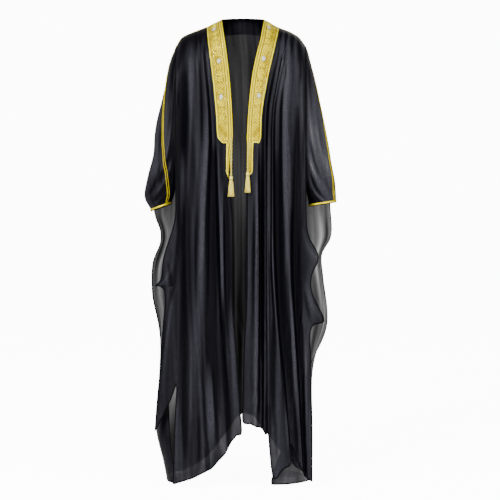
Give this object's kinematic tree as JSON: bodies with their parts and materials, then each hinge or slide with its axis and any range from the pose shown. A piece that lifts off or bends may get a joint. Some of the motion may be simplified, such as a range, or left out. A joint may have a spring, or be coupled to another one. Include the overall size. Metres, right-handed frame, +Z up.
{
  "type": "open-front kaftan cloak",
  "caption": "Full-length open-front cloak in sheer black cloth, with wide cuffed sleeves, stepped gold front bands, gold braid along shoulders and sleeves, and hanging tassels.",
  "frame": {"origin": "the middle of the neck at the height where the shoulder seams start, where the cloak hangs on the wearer", "axes": "+Z up from hem to neck, -Y towards what the wearer faces, +X to the viewer's right as seen from the front"},
  "size_m": [0.6449, 0.3647, 1.5485],
  "materials": {
    "cloth": "sheer plain weave, matt, light shows through",
    "gold_band": "close gold metal-thread embroidery",
    "silver_motif": "silver-white thread, raised",
    "gold_braid": "plaited gold thread",
    "gold_cord": "twisted gold thread"
  },
  "bodies": {
    "root": {"back": "cloth", "front_left": "cloth", "front_right": "cloth", "sleeve_left": "cloth", "sleeve_right": "cloth", "band_left": "gold_band", "band_right": "gold_band", "band_neck": "gold_band", "medallion_left_1": "silver_motif", "medallion_left_2": "silver_motif", "medallion_left_3": "silver_motif", "medallion_right_1": "silver_motif", "medallion_right_2": "silver_motif", "medallion_right_3": "silver_motif", "medallion_neck": "silver_motif", "braid_left": "gold_braid", "braid_right": "gold_braid", "cuff_left": "gold_braid", "cuff_right": "gold_braid", "cord_left": "gold_cord", "cord_right": "gold_cord", "tassel_left": "gold_cord", "tassel_right": "gold_cord"}
  },
  "joints": []
}
